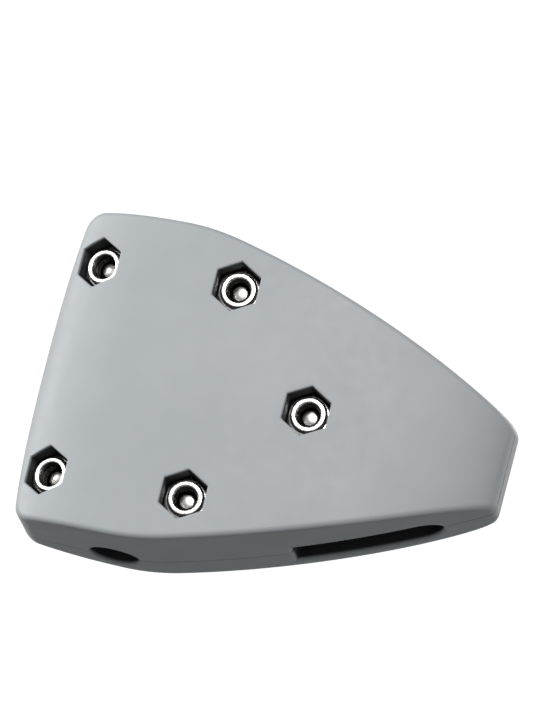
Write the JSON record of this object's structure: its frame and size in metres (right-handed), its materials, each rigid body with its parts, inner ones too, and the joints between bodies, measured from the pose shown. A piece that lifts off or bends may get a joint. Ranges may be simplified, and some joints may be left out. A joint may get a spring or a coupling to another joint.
{
  "type": "cam cleat",
  "caption": "Clamp-on cam cleat: a rounded wedge housing bolts round a tube and two sprung toothed cams in its nose grip a rope.",
  "frame": {"origin": "middle of the tube bore, on the parting plane of the two housing shells", "axes": "+Z along the clamped tube, +X from the tube towards the housing's nose, +Y from the nut side towards the bolt-head side"},
  "size_m": [0.1137, 0.0318, 0.0786],
  "materials": {
    "housing_plastic": "satin, finely grained",
    "stainless": "bright",
    "lock_ring_nylon": "satin",
    "cam_metal": "cast and tumbled",
    "bush_plastic": "satin",
    "spring_steel": "drawn wire"
  },
  "bodies": {
    "housing": {"front_shell": "housing_plastic", "rear_shell": "housing_plastic", "tail_bolt_upper": "stainless", "tail_bolt_lower": "stainless", "mid_bolt_upper": "stainless", "mid_bolt_lower": "stainless", "cam_bolt": "stainless", "tail_nut_upper": "stainless", "tail_nut_lower": "stainless", "mid_nut_upper": "stainless", "mid_nut_lower": "stainless", "cam_nut": "stainless", "tail_insert_upper": "lock_ring_nylon", "tail_insert_lower": "lock_ring_nylon", "mid_insert_upper": "lock_ring_nylon", "mid_insert_lower": "lock_ring_nylon", "cam_insert": "lock_ring_nylon", "pivot_bush": "bush_plastic", "pivot_pin": "stainless", "inner_spring": "spring_steel", "outer_spring": "spring_steel", "inner_spring_washer": "bush_plastic", "outer_spring_washer": "bush_plastic", "inner_thrust_washer": "bush_plastic", "outer_thrust_washer": "bush_plastic"},
    "inner_cam": {"inner_cam": "cam_metal"},
    "outer_cam": {"outer_cam": "cam_metal"}
  },
  "joints": [
    {"name": "inner_cam_pivot", "type": "hinge", "parent": "housing", "child": "inner_cam", "pos_m": [0.0403, 0, 0], "axis": [0, -1, 0], "range_deg": [0, 48], "stiffness_Nm_per_rad": 0.02, "springref_deg": -28.65},
    {"name": "outer_cam_pivot", "type": "hinge", "parent": "housing", "child": "outer_cam", "pos_m": [0.076, 0, 0], "axis": [0, 1, 0], "range_deg": [0, 48], "stiffness_Nm_per_rad": 0.02, "springref_deg": -28.65}
  ]
}
